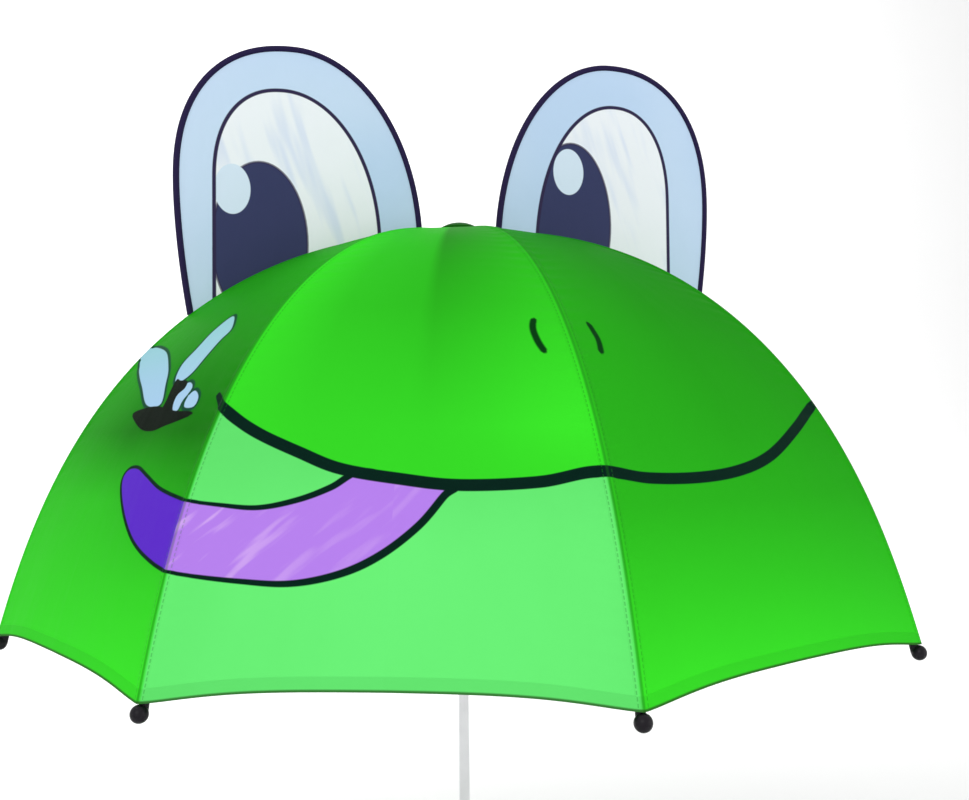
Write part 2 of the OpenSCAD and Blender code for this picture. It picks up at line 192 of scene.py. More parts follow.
class CanopySettings(PropertyGroup):
    """Sizes and colours of the cloth."""

    rib_length: FloatProperty(
        name="Rib length", description="Along the rib, crown to hem", default=0.470, unit="LENGTH"
    )
    bend_start: FloatProperty(name="Bend at the crown", description="Radians per rib length", default=1.098)
    bend_rise: FloatProperty(name="Bend rise", description="Change of the bend along the rib", default=2.610)
    bend_ease: FloatProperty(
        name="Bend ease", description="Easing of the bend towards the tip", default=-3.293
    )
    bulge: FloatProperty(
        name="Bulge", description="Share of the radius by which a panel stands out", default=0.016
    )
    first: FloatProperty(
        name="First row", description="Where the cloth starts, as a share of the rib", default=0.012
    )
    skin: FloatProperty(name="Cloth", description="Thickness of the cloth", default=0.0005, unit="LENGTH")
    hem_tip: FloatProperty(
        name="Hem at a rib", description="Cloth past the rib's end, as a share of the rib", default=0.0155
    )
    hem_mid: FloatProperty(
        name="Hem mid panel", description="The same in the middle of a panel", default=-0.0025
    )
    hem_reach: FloatProperty(
        name="Hem dip", description="How far round the hem's dip at a rib reaches", default=0.17
    )
    hem: FloatProperty(name="Hem", description="Width of the turned hem", default=0.007, unit="LENGTH")
    seam_half: FloatProperty(
        name="Seam", description="Half the width of a seam's fold", default=0.0035, unit="LENGTH"
    )
    seam_rise: FloatProperty(
        name="Seam rise", description="Height of a seam's fold", default=0.0006, unit="LENGTH"
    )
    hem_rise: FloatProperty(
        name="Hem rise", description="Height of the turned hem", default=0.0004, unit="LENGTH"
    )
    pucker: FloatProperty(
        name="Pucker", description="Height of the puckers at a seam", default=0.0004, unit="LENGTH"
    )
    folded: FloatProperty(
        name="Folded width", description="Share of its width a panel keeps when closed", default=0.27
    )
    across: IntProperty(name="Cells across", description="Mesh cells across one rib's share", default=112)
    along: IntProperty(name="Cells along", description="Mesh cells from crown to hem", default=208)
    mouth_half: FloatProperty(
        name="Mouth line", description="Half the mouth line's width", default=0.0034, unit="LENGTH"
    )
    outline_thin: FloatProperty(
        name="Thin outline", description="Half the tongue outline's width, left",
        default=0.0011, unit="LENGTH",
    )
    outline_thick: FloatProperty(
        name="Thick outline", description="Half its width, right", default=0.0022, unit="LENGTH"
    )
    # deep and bright are the ends of the green that the light attribute mixes between: the print's gradient with
    # painted shade and painted highlights.
    deep: FloatVectorProperty(name="Green, deep", subtype="COLOR", size=3, default=(0.005, 0.145, 0.001))
    bright: FloatVectorProperty(name="Green, bright", subtype="COLOR", size=3, default=(0.046, 0.860, 0.024))
    # The front panel's jaw colour is a painted sheen: the lower jaw painted pale mint where that panel faces the
    # light.
    jaw: FloatVectorProperty(name="Jaw, front panel", subtype="COLOR", size=3, default=(0.150, 0.900, 0.190))
    tongue: FloatVectorProperty(name="Tongue", subtype="COLOR", size=3, default=(0.480, 0.225, 0.870))
    # The side panel's tongue colour is painted shade: the same tongue print painted darker violet where that panel
    # turns from the light.
    tongue_shaded: FloatVectorProperty(
        name="Tongue, side", subtype="COLOR", size=3, default=(0.115, 0.022, 0.620)
    )
    ink: FloatVectorProperty(name="Line", subtype="COLOR", size=3, default=(0.002, 0.018, 0.012))
    nostril: FloatVectorProperty(name="Nostril", subtype="COLOR", size=3, default=(0.002, 0.045, 0.006))
    wing: FloatVectorProperty(name="Wing", subtype="COLOR", size=3, default=(0.350, 0.690, 0.760))
    fly: FloatVectorProperty(name="Fly", subtype="COLOR", size=3, default=(0.003, 0.003, 0.004))


class EarSettings(PropertyGroup):
    """Sizes and colours of the ears."""

    middle: FloatProperty(
        name="Peak", description="Highest point's distance from the shaft", default=0.128, unit="LENGTH"
    )
    peak: FloatProperty(
        name="Peak height", description="Height of the highest point", default=0.701, unit="LENGTH"
    )
    out: FloatProperty(
        name="Outward reach", description="Peak to the outer side", default=0.085, unit="LENGTH"
    )
    wide: FloatProperty(
        name="Widest level", description="Height where the outer side is upright",
        default=0.595, unit="LENGTH",
    )
    reach: FloatProperty(
        name="Inward reach", description="Peak to the inner side", default=0.098, unit="LENGTH"
    )
    low: FloatProperty(
        name="Low level", description="Height where the inner side is upright", default=0.550, unit="LENGTH"
    )
    square: FloatProperty(
        name="Squareness", description="Less than 1 for a fuller outer shoulder", default=0.87
    )
    lean: FloatProperty(
        name="Lean", description="How far the outer side leans in", default=0.010, unit="LENGTH"
    )
    thick: FloatProperty(name="Thickness", description="Greatest thickness", default=0.0044, unit="LENGTH")
    binding: FloatProperty(
        name="Binding", description="Radius of the bound edge", default=0.0025, unit="LENGTH"
    )
    border: FloatVectorProperty(name="Border", subtype="COLOR", size=3, default=(0.530, 0.700, 0.930))
    white: FloatVectorProperty(name="White", subtype="COLOR", size=3, default=(0.900, 0.940, 0.990))
    pupil: FloatVectorProperty(name="Pupil", subtype="COLOR", size=3, default=(0.028, 0.036, 0.115))
    glint: FloatVectorProperty(name="Glint", subtype="COLOR", size=3, default=(0.690, 0.820, 0.960))
    navy: FloatVectorProperty(name="Navy", subtype="COLOR", size=3, default=(0.020, 0.012, 0.060))


class StrapSettings(PropertyGroup):
    """The tie strap on the back rib."""

    rib: IntProperty(name="Rib", description="Rib whose seam the strap is sewn to", default=4)
    start: FloatProperty(name="From", description="Sewn end, as a share of the rib", default=0.70)
    end: FloatProperty(name="To", description="Free end, as a share of the rib", default=0.97)
    width: FloatProperty(name="Width", description="Width of the strap", default=0.014, unit="LENGTH")
    lift: FloatProperty(name="Lift", description="Height over the cloth", default=0.0008, unit="LENGTH")
    thick: FloatProperty(name="Thickness", description="Doubled cloth", default=0.0011, unit="LENGTH")
    colour: FloatVectorProperty(name="Colour", subtype="COLOR", size=3, default=(0.018, 0.330, 0.008))


class FittingSettings(PropertyGroup):
    """Finishes of the frame and the handle."""

    steel: FloatVectorProperty(name="Wire steel", subtype="COLOR", size=3, default=(0.56, 0.57, 0.59))
    tube: FloatVectorProperty(name="Plated tube", subtype="COLOR", size=3, default=(0.80, 0.81, 0.82))
    black: FloatVectorProperty(name="Black plastic", subtype="COLOR", size=3, default=(0.012, 0.010, 0.014))
    cap: FloatVectorProperty(name="Cap", subtype="COLOR", size=3, default=(0.006, 0.120, 0.004))
    grip: FloatVectorProperty(name="Grip", subtype="COLOR", size=3, default=(0.030, 0.340, 0.020))
    washer: FloatVectorProperty(name="Washer", subtype="COLOR", size=3, default=(0.02, 0.18, 0.02))


class StageSettings(PropertyGroup):
    """Camera, lights and backdrop."""

    place: FloatVectorProperty(
        name="Camera place", subtype="XYZ", unit="LENGTH", size=3, default=(-0.2185, -0.8059, 0.4056)
    )
    heading: FloatProperty(name="Heading", description="Degrees to the right of +Y", default=16.41)
    tilt: FloatProperty(name="Tilt", description="Degrees above level", default=1.90)
    roll: FloatProperty(name="Roll", description="Degrees", default=0.59)
    lens: FloatProperty(name="Lens", description="Millimetres on a 36 mm sensor", default=40.13)
    key: FloatProperty(name="Key light", description="Watts", default=15.0)
    fill: FloatProperty(name="Fill light", description="Watts", default=7.0)
    wash: FloatProperty(name="Backdrop light", description="Watts", default=120.0)
    sky: FloatProperty(name="Surroundings", description="Strength of the even light", default=0.80)
    pale: FloatVectorProperty(name="Backdrop", subtype="COLOR", size=3, default=(0.93, 0.93, 0.93))


class Wiring:
    """One procedural material: adds nodes and joins them."""

    def __init__(self, name, colour, roughness, metallic=0.0):
        self.material = bpy.data.materials.new(name)
        self.material.use_nodes = True
        self.material.diffuse_color = (*colour, 1.0)
        self.tree = self.material.node_tree
        self.shader = self.tree.nodes["Principled BSDF"]
        self.shader.inputs["Base Color"].default_value = (*colour, 1.0)
        self.shader.inputs["Roughness"].default_value = roughness
        self.shader.inputs["Metallic"].default_value = metallic

    def put(self, value, socket):
        """A link where value is a socket, else the socket's own value."""
        if isinstance(value, bpy.types.NodeSocket):
            self.tree.links.new(value, socket)
        elif hasattr(value, "__len__") and len(value) == 3 and len(socket.default_value) == 4:
            socket.default_value = (*value, 1.0)
        else:
            socket.default_value = value

    def attribute(self, name):
        node = self.tree.nodes.new("ShaderNodeAttribute")
        node.attribute_name = name
        return node.outputs["Fac"]

    def math(self, operation, a, b=0.0, clamp=False):
        node = self.tree.nodes.new("ShaderNodeMath")
        node.operation = operation
        node.use_clamp = clamp
        self.put(a, node.inputs[0])
        self.put(b, node.inputs[1])
        return node.outputs[0]

    def rise(self, value, low, high, start=0.0, end=1.0):
        """Goes smoothly from start to end while value goes from low to high."""
        node = self.tree.nodes.new("ShaderNodeMapRange")
        node.interpolation_type = "SMOOTHSTEP"
        self.put(value, node.inputs["Value"])
        node.inputs["From Min"].default_value = low
        node.inputs["From Max"].default_value = high
        node.inputs["To Min"].default_value = start
        node.inputs["To Max"].default_value = end
        return node.outputs["Result"]

    def mix(self, share, a, b, blend="MIX"):
        node = self.tree.nodes.new("ShaderNodeMix")
        node.data_type = "RGBA"
        node.blend_type = blend
        self.put(share, node.inputs["Factor"])
        self.put(a, node.inputs[6])
        self.put(b, node.inputs[7])
        return node.outputs[2]

    def uv(self, name):
        node = self.tree.nodes.new("ShaderNodeUVMap")
        node.uv_map = name
        return node.outputs["UV"]

    def place(self):
        return self.tree.nodes.new("ShaderNodeTexCoord").outputs["Object"]

    def scaled(self, vector, size):
        node = self.tree.nodes.new("ShaderNodeMapping")
        self.put(vector, node.inputs["Vector"])
        node.inputs["Scale"].default_value = size
        return node.outputs["Vector"]

    def parts(self, vector):
        node = self.tree.nodes.new("ShaderNodeSeparateXYZ")
        self.put(vector, node.inputs[0])
        return node.outputs

    def combine(self, x, y):
        node = self.tree.nodes.new("ShaderNodeCombineXYZ")
        self.put(x, node.inputs[0])
        self.put(y, node.inputs[1])
        return node.outputs[0]

    def noise(self, vector, scale, detail=2.0):
        node = self.tree.nodes.new("ShaderNodeTexNoise")
        self.put(vector, node.inputs["Vector"])
        node.inputs["Scale"].default_value = scale
        node.inputs["Detail"].default_value = detail
        return node.outputs["Fac"]

    def bump(self, height, distance, strength=1.0, before=None):
        node = self.tree.nodes.new("ShaderNodeBump")
        node.inputs["Strength"].default_value = strength
        node.inputs["Distance"].default_value = distance
        self.put(height, node.inputs["Height"])
        if before is not None:
            self.put(before, node.inputs["Normal"])
        return node.outputs["Normal"]

    def finish(self, colour=None, normal=None, **uniform):
        if colour is not None:
            self.put(colour, self.shader.inputs["Base Color"])
        if normal is not None:
            self.put(normal, self.shader.inputs["Normal"])
        for name, value in uniform.items():
            self.shader.inputs[SOCKETS[name]].default_value = value
        return self.material


def rib_curve(cloth):
    """Shares of the rib, with the distance from the shaft, the drop and the slope there."""
    share = np.linspace(0.0, 1.06, 1061)
    bent = np.minimum(share, 1.0)
    slope = cloth.bend_start * bent + cloth.bend_rise * bent**2 / 2 + cloth.bend_ease * bent**3 / 3
    middle = (slope[1:] + slope[:-1]) / 2
    step = np.diff(share) * cloth.rib_length
    reach = np.concatenate([[0.0], np.cumsum(np.cos(middle) * step)])
    drop = np.concatenate([[0.0], np.cumsum(np.sin(middle) * step)])
    return share, reach, drop, slope


def on_cloth(cloth, around, share, lift=0.0):
    """Points of the cloth, from rib spaces round and shares of the rib; lift is outwards."""
    shares, reach, drop, slope = rib_curve(cloth)
    around, share = np.broadcast_arrays(np.asarray(around, float), np.asarray(share, float))
    first = np.floor(around)
    between = around - first
    sag = 4 * between * (1 - between)
    out = np.interp(share, shares, reach) + lift * np.sin(np.interp(share, shares, slope))
    up = TOP_Z - np.interp(share, shares, drop) + lift * np.cos(np.interp(share, shares, slope))
    out = out * (1 + cloth.bulge * sag)
    low, high = first * SECTOR, (first + 1) * SECTOR
    x = out * ((1 - between) * np.sin(low) + between * np.sin(high))
    y = -out * ((1 - between) * np.cos(low) + between * np.cos(high))
    return np.stack([x, y, up], -1)


def grid(name, cells_a, cells_b, place):
    """A grid, laid where place puts its square of -1 to 1. Returns the object and where its vertices were."""
    bm = bmesh.new()
    bmesh.ops.create_grid(bm, x_segments=cells_a, y_segments=cells_b, size=1.0)
    for edge in bm.edges:
        edge.smooth = not edge.is_boundary
    mesh = bpy.data.meshes.new(name)
    bm.to_mesh(mesh)
    bm.free()
    flat = np.empty(len(mesh.vertices) * 3)
    mesh.vertices.foreach_get("co", flat)
    a, b = flat.reshape(-1, 3)[:, 0], flat.reshape(-1, 3)[:, 1]
    mesh.vertices.foreach_set("co", place(a, b).astype(float).ravel())
    mesh.update()
    return show(name, mesh), a, b


def show(name, mesh):
    made = bpy.data.objects.new(name, mesh)
    bpy.context.scene.collection.objects.link(made)
    for face in mesh.polygons:
        face.use_smooth = True
    return made


def keep_values(mesh, name, values):
    mesh.attributes.new(name, "FLOAT", "POINT").data.foreach_set("value", values.astype(np.float32))


def keep_uv(mesh, name, across, along):
    corner = np.empty(len(mesh.loops), np.int32)
    mesh.loops.foreach_get("vertex_index", corner)
    layer = mesh.uv_layers.new(name=name)
    layer.uv.foreach_set("vector", np.stack([across[corner], along[corner]], -1).astype(np.float32).ravel())


def smooth_path(points, closed=False, steps=14):
    """A smooth curve through the points."""
    p = np.array(points, float)
    before, after = (p[-1:], p[:2]) if closed else (2 * p[:1] - p[1:2], 2 * p[-1:] - p[-2:-1])
    p = np.concatenate([before, p, after])
    q = np.linspace(0, 1, steps, endpoint=False)[:, None]
    found = []
    for a, b, c, d in zip(p[:-3], p[1:-2], p[2:-1], p[3:]):
        bend, twist = 2 * a - 5 * b + 4 * c - d, 3 * b - a - 3 * c + d
        found.append(0.5 * (2 * b + (c - a) * q + bend * q**2 + twist * q**3))
    if not closed:
        found.append(p[-2:-1])
    return np.concatenate(found)


def distance_to(points, path, reach=0.03):
    """Distance of each point to a path, up to reach, and where along the path it is nearest, from 0 to 1."""
    far = np.full(len(points), reach)
    along = np.zeros(len(points))
    near = np.all((points > path.min(0) - reach) & (points < path.max(0) + reach), axis=1)
    a, b = path[:-1], path[1:]
    edge = b - a
    size = (edge**2).sum(1) + 1e-18
    rows = np.flatnonzero(near)
    for start in range(0, len(rows), 4000):
        some = rows[start : start + 4000]
        offset = points[some][:, None] - a[None]
        t = np.clip((offset * edge).sum(2) / size, 0, 1)
        gap = np.sqrt(((offset - t[..., None] * edge) ** 2).sum(2))
        best = gap.argmin(1)
        far[some] = np.minimum(gap[np.arange(len(some)), best], reach)
        along[some] = (best + t[np.arange(len(some)), best]) / len(a)
    return far, along


def inside(x, y, outline):
    """Whether each point is inside a closed outline."""
    found = np.zeros(len(x), bool)
    for (ax, ay), (bx, by) in zip(outline, np.roll(outline, -1, axis=0)):
        if ay == by:
            continue
        crosses = (ay > y) != (by > y)
        found ^= crosses & (x < (bx - ax) * (y - ay) / (by - ay) + ax)
    return found


def print_shape(cloth, around, share, points, outline):
    """Signed distance to a printed shape, less than 0 inside it."""
    curve = smooth_path(outline, closed=True)
    closed = np.concatenate([curve, curve[:1]])
    far, _ = distance_to(points, on_cloth(cloth, closed[:, 0], closed[:, 1]))
    return np.where(inside(around, share, curve), -far, far)


def print_line(cloth, points, path, half, taper):
    """Distance to a drawn line's edge, less than 0 on the line. Its ends narrow to taper of its width."""
    curve = smooth_path(path)
    far, along = distance_to(points, on_cloth(cloth, curve[:, 0], curve[:, 1]))
    width = half * (taper + (1 - taper) * np.clip(np.minimum(along, 1 - along) / 0.05, 0, 1))
    return far - width


def within(w, name, edge, share=1.0):
    """share inside the shape whose signed distance is kept as name, and 0 outside it."""
    return w.rise(w.attribute(name), -edge, edge, share, 0.0)


def drawn_lines(w):
    """Signed distance to the mouth line and to the tongue's outline."""
    outline = w.math("SUBTRACT", w.math("ABSOLUTE", w.attribute("tongue")), w.attribute("stroke"))
    return w.math("MINIMUM", w.attribute("line"), outline)


def stitches(w, down, from_row):
    """A dashed row of stitches, where from_row is the distance from the row."""
    beat = w.math("FRACT", w.math("MULTIPLY", down, STITCH_RATE))
    dash = w.rise(w.math("ABSOLUTE", w.math("SUBTRACT", beat, 0.5)), 0.28, 0.36, 1.0, 0.0)
    return w.math("MULTIPLY", dash, w.rise(from_row, 0.0002, 0.0004, 1.0, 0.0))


def weave(w, across, down, rate):
    return w.math("SINE", w.math("MULTIPLY", w.math("ADD", across, down), rate))


def cloth_greens(w, cloth):
    """The cloth's colour: the print's green with the painted shade and painted highlights of the light attribute,
    the front panel's jaw painted pale mint as a painted sheen, and a faint mottle.
    """
    head = w.mix(w.attribute("light"), tuple(cloth.deep), tuple(cloth.bright))
    # Painted sheen: the front panel's jaw is painted pale mint, a little darker towards the mouth.
    chin_sheen_top = tuple(0.88 * c for c in cloth.jaw)
    chin_sheen = w.mix(w.rise(w.attribute("along"), 0.70, 0.86), chin_sheen_top, tuple(cloth.jaw))
    base = w.mix(w.math("MULTIPLY", w.attribute("jaw"), w.attribute("front_panel")), head, chin_sheen)
    mottle = w.noise(w.scaled(w.uv("cloth"), MOTTLE_SCALE), 1.0, 3.0)
    return w.mix(w.rise(mottle, 0.3, 0.75, 0.0, 0.14), base, tuple(0.6 * c for c in cloth.bright))


def cloth_print(w, cloth, base):
    """Tongue, nostrils, fly and drawn lines over the greens."""
    across, down, _ = w.parts(w.uv("cloth"))
    slant = w.combine(
        w.math("MULTIPLY", w.math("ADD", across, down), 95.0),
        w.math("MULTIPLY", w.math("SUBTRACT", across, down), 16.0),
    )
    # Painted highlight: pale streaks of gleam over the tongue on the front panel, strongest near its left seam; on
    # the side panel the tongue gets painted shade instead.
    fading = w.rise(w.attribute("rib_space"), -1.0, -0.60, 0.55, 0.15)
    gleam = w.math("MULTIPLY", w.rise(w.noise(slant, 1.0, 2.0), 0.52, 0.70), fading)
    side = w.attribute("side_panel")
    lilac = w.mix(side, tuple(cloth.tongue), tuple(cloth.tongue_shaded))
    lilac = w.mix(w.math("MULTIPLY", gleam, w.math("SUBTRACT", 1.0, side)), lilac, TONGUE_GLEAM)
    base = w.mix(within(w, "tongue", PRINT_EDGE), base, lilac)
    base = w.mix(w.rise(w.attribute("nostril"), -0.0006, 0.0008, 1.0, 0.0), base, tuple(cloth.nostril))
    wing = w.mix(w.rise(w.attribute("along"), 0.52, 0.66), tuple(cloth.wing), WING_FOOT)
    base = w.mix(w.rise(w.attribute("wing"), 0.0018, 0.0030, 0.94, 0.0), base, WING_EDGE)
    base = w.mix(within(w, "wing", PRINT_EDGE), base, wing)
    base = w.mix(within(w, "fly", PRINT_EDGE), base, tuple(cloth.fly))
    return w.mix(w.rise(drawn_lines(w), -PRINT_EDGE, PRINT_EDGE, 1.0, 0.0), base, tuple(cloth.ink))


def cloth_material(cloth):
    """Printed cloth with its seams, stitches, turned hem, creases and weave."""
    w = Wiring("canopy_cloth", tuple(cloth.bright), 0.55)
    base = cloth_print(w, cloth, cloth_greens(w, cloth))
    uv = w.uv("cloth")
    across, down, _ = w.parts(uv)
    off_rib, hem = w.math("ABSOLUTE", across), w.attribute("hem")
    base = w.mix(w.rise(off_rib, 0.0004, 0.0013, 0.42, 0.0), base, SEAM_SHADE)
    base = w.mix(w.rise(hem, 0.0008, 0.0018, 0.85, 0.0), base, HEM_EDGE)
    base = w.mix(w.rise(hem, cloth.hem, cloth.hem + 0.0008, 0.14, 0.0), base, HEM_SHADE)
    stitch = stitches(w, down, w.math("ABSOLUTE", w.math("SUBTRACT", off_rib, STITCH_ROW)))
    base = w.mix(w.math("MULTIPLY", stitch, 0.35), base, THREAD)
    seam_fold = w.rise(off_rib, 0.0030, 0.0040, 1.0, 0.0)
    hem_fold = w.rise(hem, cloth.hem, cloth.hem + 0.001, 1.0, 0.0)
    wave = w.math("SINE", w.math("MULTIPLY", down, PUCKER_RATE))
    pucker = w.math("MULTIPLY", wave, w.rise(off_rib, 0.003, 0.020, 1.0, 0.0))
    normal = w.bump(w.noise(w.scaled(uv, CREASE_SCALE), 1.0, 3.0), 0.0032, 0.5)
    normal = w.bump(pucker, 0.0003, 0.5, normal)
    normal = w.bump(w.math("MAXIMUM", seam_fold, hem_fold), 0.0004, 0.7, normal)
    normal = w.bump(stitch, 0.0002, 0.6, normal)
    normal = w.bump(weave(w, across, down, CLOTH_WEAVE), 0.00003, 0.3, normal)
    return w.finish(base, normal, sheen_weight=0.03, sheen_tint=CLOTH_SHEEN, specular_ior_level=0.015)


def lining_material(cloth):
    """The cloth's inner face, where the print only shows faintly, with the outside's painted shade and painted
    highlights from the light attribute and a fainter painted sheen over the jaw.
    """
    w = Wiring("canopy_lining", tuple(cloth.bright), 0.62)
    base = w.mix(w.attribute("light"), LINING["deep"], LINING["bright"])
    base = w.mix(w.math("MULTIPLY", w.attribute("jaw"), 0.5), base, LINING["jaw"])
    base = w.mix(within(w, "tongue", LINING_EDGE, 0.5), base, LINING["tongue"])
    base = w.mix(w.rise(drawn_lines(w), -LINING_EDGE, LINING_EDGE, 0.6, 0.0), base, LINING["ink"])
    uv = w.uv("cloth")
    off_rib = w.math("ABSOLUTE", w.parts(uv)[0])
    base = w.mix(w.rise(off_rib, 0.0040, 0.0048, 0.35, 0.0), base, LINING["seam"])
    crease = w.noise(w.scaled(uv, CREASE_SCALE), 1.0, 3.0)
    return w.finish(base, w.bump(crease, 0.0025, 0.4), sheen_weight=0.0, specular_ior_level=0.06)


def relief(cloth, from_seam, from_hem):
    """Height of the felled seam, the turned hem and the puckers that stitches draw in beside the seam."""
    flank, pucker_start, pucker_reach, pucker_pitch, hem_calm = 0.0012, 0.002, 0.016, 0.012, 0.03
    seam = cloth.seam_rise * np.clip((cloth.seam_half + flank - from_seam) / flank, 0, 1)
    hem = cloth.hem_rise * np.clip((cloth.hem + flank - from_hem) / flank, 0, 1)
    near = np.clip((from_seam - cloth.seam_half) / pucker_start, 0, 1) * np.exp(-from_seam / pucker_reach)
    crown_calm = np.clip((0.75 - from_hem / cloth.rib_length) / 0.15, 0, 1)
    calm = np.clip(from_hem / hem_calm, 0, 1) * crown_calm
    pucker = cloth.pucker * np.sin(from_hem * math.tau / pucker_pitch) * near * calm
    return np.maximum(seam, hem) + pucker


def panel_width(cloth, share):
    """Distance between two neighbouring ribs at that share of their length."""
    shares, reach, _, _ = rib_curve(cloth)
    return 2 * math.sin(SECTOR / 2) * np.interp(share, shares, reach)


def print_fields(cloth, around, share, points):
    """Distances to the printed shapes and lines, the outline's half width and the jaw that gets the painted sheen,
    over the cloth.
    """
    shapes = {"tongue": [TONGUE], "wing": FLY_WINGS, "fly": [FLY_BODY, FLY_THORAX]}
    fields = {}
    for name, outlines in shapes.items():
        gaps = [print_shape(cloth, around, share, points, outline) for outline in outlines]
        fields[name] = np.minimum.reduce(gaps)
    fields["line"] = print_line(cloth, points, MOUTH, cloth.mouth_half, 0.6)
    strokes = [print_line(cloth, points, path, NOSTRIL_HALF, 0.3) for path in NOSTRILS]
    fields["nostril"] = np.minimum.reduce(strokes)
    heavy = np.clip((around + 0.95) / 0.40, 0, 1)
    fields["stroke"] = cloth.outline_thin + (cloth.outline_thick - cloth.outline_thin) * heavy
    lip = smooth_path(MOUTH)
    below = share > np.interp(around, lip[:, 0], lip[:, 1])
    fields["jaw"] = np.where(np.abs(around) < 1.0, below, 0.0)
    return fields


def brightness(around, share):
    """How bright the cloth is painted there, from LIGHT, with its painted shade and painted highlights. Beyond the
    last column on the right it stays even.
    """
    columns = np.stack([np.interp(share, LIGHT_SHARES, row) for row in LIGHT.values()])
    spot = np.interp(around, list(LIGHT), np.arange(len(LIGHT)))
    low = np.minimum(spot.astype(int), len(LIGHT) - 2)
    after = np.arange(len(spot))
    return columns[low, after] * (1 - spot + low) + columns[low + 1, after] * (spot - low)


def build_section(cloth, rib, outer, inner):
    """The cloth that travels with one rib, from the middle of one panel to the middle of the next."""
    whole = rib if rib <= RIBS // 2 else rib - RIBS
    printed = whole in PRINTED_RIBS
    cells = (cloth.across, cloth.along) if printed else (cloth.across // 2, cloth.along // 2)

    def around_of(a):
        return whole + 0.5 * a

    def hem_share(a):
        dip = np.exp(-((np.abs(a) / 2 / cloth.hem_reach) ** 1.4))
        return 1.0 + cloth.hem_mid + (cloth.hem_tip - cloth.hem_mid) * dip

    def share_of(a, b):
        return cloth.first + (hem_share(a) - cloth.first) * (0.5 + 0.5 * b)

    def hem_distance(a, b):
        return (hem_share(a) - share_of(a, b)) * cloth.rib_length

    def place(a, b):
        share = share_of(a, b)
        from_seam = panel_width(cloth, share) * np.abs(a) / 2
        return on_cloth(cloth, around_of(a), share, relief(cloth, from_seam, hem_distance(a, b)))

    made, a, b = grid(f"cloth_{rib}", *cells, place)
    mesh = made.data
    mesh.flip_normals()
    around, share = around_of(a), share_of(a, b)
    keep_uv(mesh, "cloth", panel_width(cloth, share) * (around - whole), share * cloth.rib_length)
    if printed:
        fields = print_fields(cloth, around, share, place(a, b))
    else:
        fields = {name: np.full(len(a), value) for name, value in NO_PRINT.items()}
    # light holds the print's gradient with painted shade and painted highlights; front_panel places the jaw's
    # painted sheen, and side_panel the tongue's painted shade.
    fields["light"] = brightness(around, share)
    fields["rib_space"] = around
    fields["along"] = share
    fields["front_panel"] = ((around > -1.0) & (around < 0.0)).astype(float)
    fields["side_panel"] = (around < -1.0).astype(float)
    fields["hem"] = hem_distance(a, b)
    for name, values in fields.items():
        keep_values(mesh, name, values)
    mesh.materials.append(outer)
    mesh.materials.append(inner)
    skin = made.modifiers.new("cloth thickness", "SOLIDIFY")
    skin.thickness = cloth.skin
    skin.offset = -1.0
    skin.material_offset = 1
    skin.material_offset_rim = 0
    body = f"rib_{rib}"
    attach(made, body)
    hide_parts(f"cover_{rib}")
    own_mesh(made)
    return made


# inner is the white's peak, as distance out and height, and its reach outwards and inwards. pupil and glint
# have their centre and two radii.
EARS = {
    "left": {
        "rib": 6,
        "way": -1.0,
        "raised": -0.004,
        "inner": (0.1350, 0.6635, 0.0500, 0.0720),
        "pupil": (-0.1520, 0.549, 0.0345, 0.0600),
        "glint": (-0.1720, 0.588, 0.0130, 0.0185),
    },
    "right": {
        "rib": 2,
        "way": 1.0,
        "raised": 0.004,
        "inner": (0.1300, 0.6710, 0.0470, 0.0670),
        "pupil": (0.0935, 0.575, 0.0325, 0.0640),
        "glint": (0.0905, 0.616, 0.0128, 0.0185),
    },
}


def tube(name, path, radius, flat=1.0, sides=12):
    """A round strand along a path; flat squeezes it along Y."""
    path = np.array(path, float)
    ahead = np.gradient(path, axis=0)
    ahead /= np.linalg.norm(ahead, axis=1, keepdims=True)
    side = np.array([0.0, 1.0, 0.0])
    other = np.cross(ahead, side)
    other /= np.linalg.norm(other, axis=1, keepdims=True)

    def place(a, b):
        at = (b + 1) / 2 * (len(path) - 1)
        index = np.arange(len(path))
        centre = np.stack([np.interp(at, index, path[:, k]) for k in range(3)], -1)
        out = np.stack([np.interp(at, index, other[:, k]) for k in range(3)], -1)
        turn = math.pi * a
        return centre + radius * (np.cos(turn)[:, None] * out + flat * np.sin(turn)[:, None] * side)

    made, _, _ = grid(name, sides, max(len(path) - 1, 2), place)
    bm = bmesh.new()
    bm.from_mesh(made.data)
    bmesh.ops.remove_doubles(bm, verts=bm.verts, dist=1e-6)
    rims = [e for e in bm.edges if e.is_boundary]
    bmesh.ops.holes_fill(bm, edges=rims, sides=0)
    bmesh.ops.recalc_face_normals(bm, faces=bm.faces)
    bm.to_mesh(made.data)
    bm.free()
    return made


def ear_arch(ear, middle, peak, out, reach, steps=40):
    """A lopsided arch, as distance from the shaft and height, from its inner foot to its widest level."""
    turn = np.linspace(0, math.pi / 2, steps)
    inner = np.stack([middle - reach * np.cos(turn), ear.low + (peak - ear.low) * np.sin(turn)], -1)
    rise, run = np.cos(turn) ** ear.square, np.sin(turn) ** ear.square
    outer = np.stack([middle + out * run, ear.wide + (peak - ear.wide) * rise], -1)
    return np.concatenate([inner, outer[1:]])


def cloth_height(cloth, out):
    """Height of the cloth's surface over a rib, that far out from the shaft."""
    _, reach, drop, _ = rib_curve(cloth)
    return TOP_Z - np.interp(out, reach, drop)


